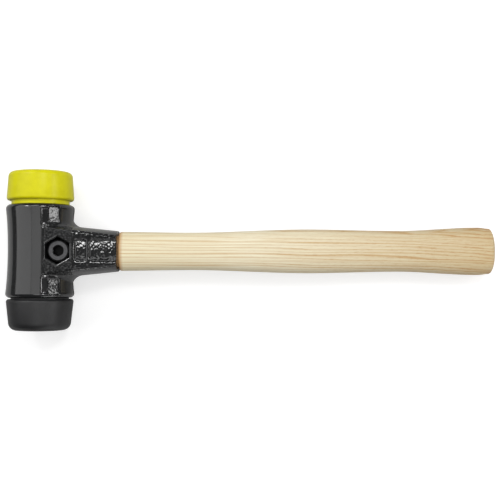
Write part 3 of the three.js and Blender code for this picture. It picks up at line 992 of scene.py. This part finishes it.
def mixed(tree, share, first, second):
    """The first colour at share 0, and the second at 1."""
    return node(tree, "Mix", {0: share, 6: first, 7: second}, data_type="RGBA").outputs[2]


def place_on(tree):
    """Object coordinates, which are in metres."""
    return node(tree, "TexCoord", {}).outputs["Object"]


def marked(tree, name):
    """An attribute of the mesh."""
    return node(tree, "Attribute", {}, attribute_name=name).outputs["Fac"]


def grain(tree, at, stretch, detail=2.0, roughness=0.5):
    """Noise on stretched coordinates, with features about one over the stretch in metres."""
    mapped = node(tree, "Mapping", {"Vector": at, "Scale": stretch}).outputs[0]
    inputs = {"Vector": mapped, "Scale": 1.0, "Detail": detail, "Roughness": roughness}
    return node(tree, "TexNoise", inputs).outputs[0]


def bumped(tree, shader, height, strength, distance):
    bump = node(tree, "Bump", {"Height": height, "Strength": strength, "Distance": distance})
    fill(tree, shader, {"Normal": bump.outputs[0]})


def uneven_surface():
    """A node group for most finishes: a mottled colour, an uneven roughness and a fine height."""
    group = bpy.data.node_groups.new("uneven surface", "ShaderNodeTree")
    for name in ("Dark", "Light"):
        group.interface.new_socket(name, in_out="INPUT", socket_type="NodeSocketColor")
    for name in ("Mottles", "Grains", "Smoothest", "Roughest"):
        group.interface.new_socket(name, in_out="INPUT", socket_type="NodeSocketFloat")
    group.interface.new_socket("Color", in_out="OUTPUT", socket_type="NodeSocketColor")
    for name in ("Roughness", "Height"):
        group.interface.new_socket(name, in_out="OUTPUT", socket_type="NodeSocketFloat")
    given = group.nodes.new("NodeGroupInput").outputs
    at = place_on(group)
    mottle_inputs = {"Vector": at, "Scale": given["Mottles"], "Detail": 4.0, "Roughness": 0.6}
    mottle = node(group, "TexNoise", mottle_inputs).outputs[0]
    fine = node(group, "TexNoise", {"Vector": at, "Scale": given["Grains"], "Detail": 2.0}).outputs[0]
    shade = spread(group, mottle, 0.3, 0.7, 0, 1)
    result = {
        "Color": mixed(group, shade, given["Dark"], given["Light"]),
        "Roughness": spread(group, fine, 0.3, 0.7, given["Smoothest"], given["Roughest"]),
        "Height": fine,
    }
    fill(group, group.nodes.new("NodeGroupOutput"), result)
    return group


UNEVEN = uneven_surface()


# Finishes

def finish(name):
    """A new material with its node tree and its Principled shader."""
    material = bpy.data.materials.new(name)
    material.use_nodes = True
    tree = material.node_tree
    return material, tree, tree.nodes["Principled BSDF"]


def uneven_finish(name, dark, light, mottles, grains, roughness):
    """A finish with the shared group's colour and roughness.

    Mottles and grains are counted to the metre.
    """
    material, tree, shader = finish(name)
    inputs = {
        "Dark": (*dark, 1),
        "Light": (*light, 1),
        "Mottles": mottles,
        "Grains": grains,
        "Smoothest": roughness[0],
        "Roughest": roughness[1],
    }
    skin = node(tree, "Group", inputs, node_tree=UNEVEN).outputs
    fill(tree, shader, {"Base Color": skin["Color"], "Roughness": skin["Roughness"]})
    return material, tree, shader, skin


def housing_paint():
    """Black paint under a clear gloss, which is patchy on the coarse cast skin."""
    material, tree, shader, peel = uneven_finish(
        "housing_paint",
        dark=(0.006, 0.0062, 0.0064),
        light=(0.010, 0.0104, 0.011),
        mottles=90,
        grains=1100,
        roughness=(0.48, 0.54),
    )
    cast = marked(tree, "cast_skin")
    coarse = grain(tree, place_on(tree), (900, 900, 900))
    coarse_height = times(tree, coarse, times(tree, cast, 0.3))
    height = plus(tree, times(tree, peel["Height"], 0.4), coarse_height)
    bumped(tree, shader, height, strength=0.5, distance=0.0002)
    patches = spread(tree, coarse, 0.45, 0.65, 0.0, 0.85)
    gloss = {
        "Specular IOR Level": 0.1,
        "Coat Weight": node(tree, "Mix", {0: cast, 2: 1.0, 3: patches}).outputs[0],
        "Coat Roughness": 0.12,
        "Coat IOR": 1.6,
    }
    fill(tree, shader, gloss)
    return material


def moulded(name, shine, depth, **looks):
    """A moulded plastic or rubber: mottled, with a fine grain of a depth in metres."""
    material, tree, shader, skin = uneven_finish(name, **looks)
    fill(tree, shader, {"Specular IOR Level": shine})
    bumped(tree, shader, skin["Height"], strength=0.15, distance=depth)
    return material


def yellow_plastic():
    return moulded(
        "yellow_plastic",
        dark=(0.61, 0.57, 0.0035),
        light=(0.68, 0.645, 0.005),
        mottles=160,
        grains=1800,
        roughness=(0.3, 0.4),
        shine=0.2,
        depth=0.00008,
    )


def black_rubber():
    return moulded(
        "black_rubber",
        dark=(0.005, 0.005, 0.0056),
        light=(0.009, 0.009, 0.010),
        mottles=220,
        grains=2200,
        roughness=(0.45, 0.53),
        shine=0.55,
        depth=0.0001,
    )


def nylon():
    return moulded(
        "nylon",
        dark=(0.15, 0.26, 0.42),
        light=(0.2, 0.32, 0.48),
        mottles=900,
        grains=1500,
        roughness=(0.42, 0.48),
        shine=0.5,
        depth=0.00004,
    )


def satin_metal(name, **looks):
    """A plated or oxidised metal with a fine grain."""
    material, tree, shader, skin = uneven_finish(name, **looks)
    fill(tree, shader, {"Metallic": 0.9})
    bumped(tree, shader, skin["Height"], strength=0.12, distance=0.00005)
    return material, tree, shader, skin


def screw_steel():
    """Black oxide, with shade painted in as near-black down in the key socket."""
    material, tree, shader, oxide = satin_metal(
        "screw_steel",
        dark=(0.07, 0.07, 0.072),
        light=(0.1, 0.1, 0.103),
        mottles=900,
        grains=2500,
        roughness=(0.4, 0.5),
    )
    # Painted shade: the deep key socket's walls and floor are given a near-black colour where the real
    # socket lies in shade.
    inside = marked(tree, "in_socket")
    colour = mixed(tree, inside, oxide["Color"], (0.006, 0.006, 0.006, 1))
    fill(tree, shader, {"Base Color": colour})
    return material


def nut_steel():
    """Zinc plate, a little cloudy."""
    material, *_ = satin_metal(
        "nut_steel",
        dark=(0.42, 0.42, 0.4),
        light=(0.55, 0.55, 0.53),
        mottles=700,
        grains=2500,
        roughness=(0.26, 0.38),
    )
    return material


def grain_lines(tree, at, run_out):
    """How strong the tan lines of the growth rings are at a point.

    The lines are uneven, and they run out of the handle's side by run_out.
    """
    _, y, z = node(tree, "SeparateXYZ", {"Vector": at}).outputs
    drift = times(tree, grain(tree, at, (5, 12, 12)), RING_DRIFT)
    across = plus(tree, plus(tree, y, times(tree, z, RING_LEAN)), drift)
    across = plus(tree, across, run_out)
    uneven_years = times(tree, grain(tree, at, (7, 320, 320), 1), RING_UNEVENNESS)
    ring = plus(tree, maths(tree, "DIVIDE", across, RING_SPACING), uneven_years)
    season = maths(tree, "FRACT", ring)
    rise = spread(tree, season, 0.06, 0.32, 0, 1)
    fall = spread(tree, season, 0.42, 0.54, 1, 0)
    year = maths(tree, "FLOOR", ring)
    chance = node(tree, "TexWhiteNoise", {"W": year}, noise_dimensions="1D").outputs["Value"]
    return times(tree, times(tree, rise, fall), spread(tree, chance, 0, 1, 0.15, 1.0))


def handle_wood():
    """Pale wood whose grain lines and pores get darker towards the butt, and orange-brown at the
    shoulder: partly darker end grain, partly painted shade where the handle meets the socket.

    Distances along the handle are in metres.
    """
    material, tree, shader = finish("handle_wood")
    at = place_on(tree)
    x = node(tree, "SeparateXYZ", {"Vector": at}).outputs[0]
    shoulder_x = head_centre.x + shoulder_at * MILLIMETRE
    by_head = spread(tree, x, shoulder_x, shoulder_x + 0.08, 1, 0)
    to_butt = spread(tree, x, shoulder_x + 0.07, handle_high.x, 0, 1)

    run_out = times(tree, maths(tree, "POWER", to_butt, 2.0), RING_RUN_OUT)
    lines = times(tree, grain_lines(tree, at, run_out), spread(tree, to_butt, 0, 1, 0.75, 1.0))
    streaks = spread(tree, grain(tree, at, (16, 1100, 1100), 3, 0.6), 0.35, 0.7, 0, 1)
    pores = spread(tree, grain(tree, at, (260, 1900, 1900), 2, 0.6), 0.52, 0.62, 0, 1)
    pores = times(tree, pores, spread(tree, lines, 0.0, 0.5, 0.3, 1.0))
    pores = times(tree, pores, spread(tree, to_butt, 0, 1, 0.15, 0.9))
    # Orange-brown over the tang's exit and the shoulder's round: partly the darker end grain there,
    # partly painted shade where the handle meets the socket.
    off_tang = spread(tree, x, shoulder_x - 0.002, shoulder_x - 0.001, 0, 0.85)
    end_grain_and_shade = times(tree, off_tang, spread(tree, x, shoulder_x + 0.0008, shoulder_x + 0.003, 1, 0))

    pale = mixed(tree, by_head, (0.83, 0.775, 0.59, 1), (0.79, 0.73, 0.52, 1))
    pale = mixed(tree, to_butt, pale, (0.585, 0.48, 0.28, 1))
    tan = mixed(tree, to_butt, (0.58, 0.38, 0.16, 1), (0.46, 0.265, 0.1, 1))
    colour = mixed(tree, times(tree, streaks, 0.4), pale, tan)
    colour = mixed(tree, lines, colour, tan)
    colour = mixed(tree, pores, colour, (0.46, 0.25, 0.09, 1))
    colour = mixed(tree, end_grain_and_shade, colour, (0.48, 0.24, 0.075, 1))
    fill(tree, shader, {"Base Color": colour, "Roughness": spread(tree, streaks, 0, 1, 0.48, 0.6)})
    height = maths(tree, "SUBTRACT", times(tree, streaks, 0.3), times(tree, pores, 0.6))
    bumped(tree, shader, height, strength=0.25, distance=0.00012)
    return material


# Assembly

def placed(name, shape, material, body, cad_node, sharp_angle=35):
    """Puts a shape where the solid is and hands it to the frame."""
    bmesh.ops.transform(shape, matrix=HEAD_PLACE, verts=shape.verts)
    mesh = mesh_of(name, shape)
    mesh.shade_smooth()
    mesh.set_sharp_from_angle(angle=math.radians(sharp_angle))
    mesh.materials.append(material)
    piece = linked(name, mesh)
    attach(piece, body)
    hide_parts(cad_node)


ROOT = "handle_and_rear_half"
paint = housing_paint()
front_half = roughened(casting())
rear_half = turned_over(front_half.copy())
hard_face = face_insert(HARD_NECK_SHOWING, HARD_FACE_HEIGHT, HARD_FACE_DRAFT, HARD_FACE_ROUND)
soft_face = face_insert(SOFT_NECK_SHOWING, SOFT_FACE_HEIGHT, SOFT_FACE_DRAFT, SOFT_FACE_ROUND)
screw = at_screw(clamp_screw(), seat_level)
nut = at_screw(turned_over(clamp_nut()), -seat_level)
nut_ring = at_screw(turned_over(locking_ring()), -seat_level)

placed("front_half", front_half, paint, "front_half", "front_housing_half", 60)
placed("rear_half", rear_half, paint, ROOT, "rear_housing_half", 60)
placed("hard_face", hard_face, yellow_plastic(), "hard_face", "hard_face_insert")
placed(
    "soft_face", turned_over(soft_face), black_rubber(), "soft_face", "soft_face_insert"
)
placed("screw", screw, screw_steel(), "screw", "clamp_screw")
placed("nut", nut, nut_steel(), ROOT, "clamp_nut")
placed("nut_ring", nut_ring, nylon(), ROOT, "nut_locking_ring")
placed("wooden_handle", handle(), handle_wood(), ROOT, "handle", 50)


# Floor, which leans so that both rims and the butt rest on it

def floor_white():
    """A matt white that glows for the camera, and glows to full white away from the part."""
    material = bpy.data.materials.new("floor_white")
    material.use_nodes = True
    tree = material.node_tree
    tree.nodes.clear()
    path = node(tree, "LightPath", {}).outputs
    seen = maths(tree, "MAXIMUM", path["Is Camera Ray"], path["Is Transmission Ray"])
    away = node(tree, "VectorMath", {0: place_on(tree)}, operation="LENGTH").outputs["Value"]
    strength = times(tree, seen, spread(tree, away, FLOOR_GLOW_NEAR, FLOOR_GLOW_FAR, 0.6, 1.0))
    matt = node(tree, "BsdfDiffuse", {"Color": (0.55, 0.55, 0.55, 1)})
    glow = node(tree, "Emission", {"Color": (1, 1, 1, 1), "Strength": strength})
    both = node(tree, "AddShader", {0: matt.outputs[0], 1: glow.outputs[0]})
    node(tree, "OutputMaterial", {"Surface": both.outputs[0]})
    return material


def floor():
    """The floor under both rims and the butt."""
    butt_x, _, butt_thickness = grip_sections()[GRIP.index(BUTT)]
    lean = math.asin((rim_radius - butt_thickness / 2) / butt_x)
    shape = bmesh.new()
    bmesh.ops.create_grid(shape, x_segments=1, y_segments=1, size=FLOOR_HALF_SIDE)
    shifted(shape, FLOOR_SHIFT, 0, -rim_radius * MILLIMETRE)
    place = Matrix.Translation(head_centre) @ Matrix.Rotation(-lean, 4, "Y")
    bmesh.ops.transform(shape, matrix=place, verts=shape.verts)
    mesh = mesh_of("floor", shape)
    mesh.materials.append(floor_white())
    linked("floor", mesh)


floor()


# Light and camera

def softbox(name, place, aim, width, height, brightness):
    """A plain rectangular lamp that looks as bright as its brightness, with 1 as white."""
    lamp = bpy.data.lights.new(name, "AREA")
    lamp.shape = "RECTANGLE"
    lamp.size = width
    lamp.size_y = height
    lamp.energy = brightness * math.pi * width * height
    made = linked(name, lamp)
    made.location = place
    made.rotation_euler = (Vector(aim) - Vector(place)).to_track_quat("-Z", "Y").to_euler()


softbox("left_wall", (-0.65, 0.34, 0.57), (0.33, 0.34, -0.02), 0.92, 0.86, 1.4)
softbox("ceiling", (-0.14, 0.1, 1.0), (-0.14, 0.1, 0), 0.58, 0.7, 1.2)
softbox("key", (0.27, 0.43, 1.0), (-0.1, 0, 0.02), 0.24, 0.19, 21.5)
softbox("fill", (0.27, -0.36, 1.0), (0.27, 0, 0.02), 1.05, 0.2, 2.6)
softbox("right_strip", (0.65, 0.2, 0.47), HEAD_AIM, 0.36, 0.16, 8.5)
softbox("crest_strip", (0.65, -0.17, 0.5), HEAD_AIM, 0.2, 0.15, 8.0)
softbox("edge_lamp", (-0.535, 0.434, 0.564), (-0.114, 0, 0.04), 0.12, 0.12, 22.0)
softbox("top_strip", (-0.25, 0.75, 0.85), HEAD_AIM, 0.4, 0.14, 9.0)
softbox("low_fill", (0.3, -0.7, 0.15), (0.05, 0, 0.02), 0.7, 0.22, 2.6)


def studio():
    """A dim grey room, which the camera sees as white."""
    world = bpy.data.worlds.new("studio")
    world.use_nodes = True
    tree = world.node_tree
    seen = node(tree, "LightPath", {}).outputs["Is Camera Ray"]
    strength = spread(tree, seen, 0, 1, 0.06, 1.0)
    fill(tree, tree.nodes["Background"], {"Strength": strength, "Color": (1, 1, 1, 1)})
    bpy.context.scene.world = world


studio()

camera = bpy.data.cameras.new("camera")
camera.lens = CAMERA_LENS
camera.sensor_width = CAMERA_SENSOR
camera_object = linked("camera", camera)
back = Vector((0, -math.sin(CAMERA_TILT), math.cos(CAMERA_TILT)))
camera_object.location = Vector((0, CAMERA_SIDE, head_centre.z)) + CAMERA_DISTANCE * back
camera_object.rotation_euler = (CAMERA_TILT, 0, 0)
bpy.context.scene.camera = camera_object
bpy.context.scene.view_settings.view_transform = "Standard"
